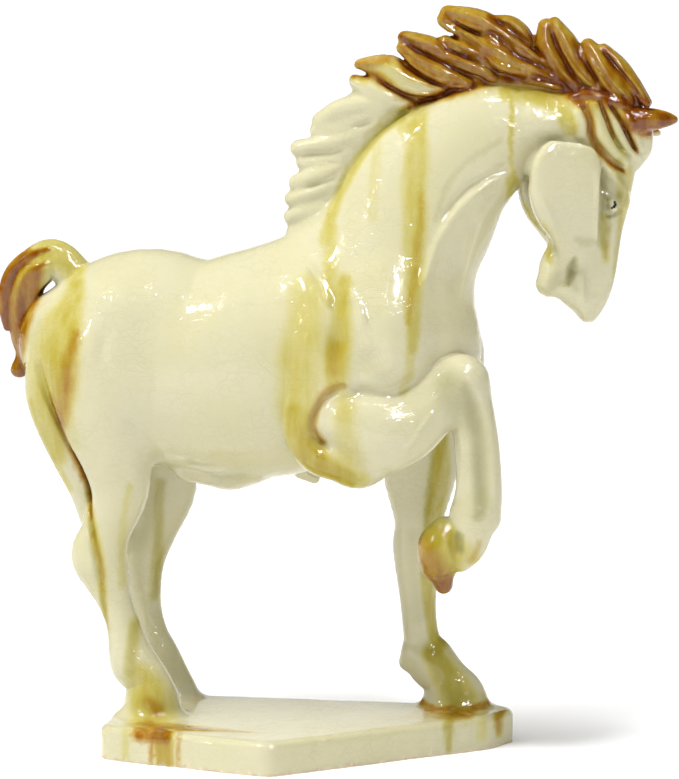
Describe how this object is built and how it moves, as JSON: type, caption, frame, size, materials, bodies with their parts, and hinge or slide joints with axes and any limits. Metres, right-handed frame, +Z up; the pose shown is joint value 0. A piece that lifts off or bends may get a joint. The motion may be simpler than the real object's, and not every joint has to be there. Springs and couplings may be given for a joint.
{
  "type": "horse figurine",
  "caption": "Glazed earthenware figure of a prancing horse with a raised foreleg, arched neck and swept-back mane, cast in one with its low plinth.",
  "frame": {"origin": "the middle of the plinth's flat underside", "axes": "+X the way the horse faces, +Y to the horse's left, +Z up"},
  "size_m": [0.2699, 0.091, 0.2948],
  "materials": {
    "glaze": "clear glossy lead-type glaze over a cream body, with yellow-olive runs and an amber-brown mane, tail and hooves"
  },
  "bodies": {
    "root": {"horse": "glaze"}
  },
  "joints": []
}
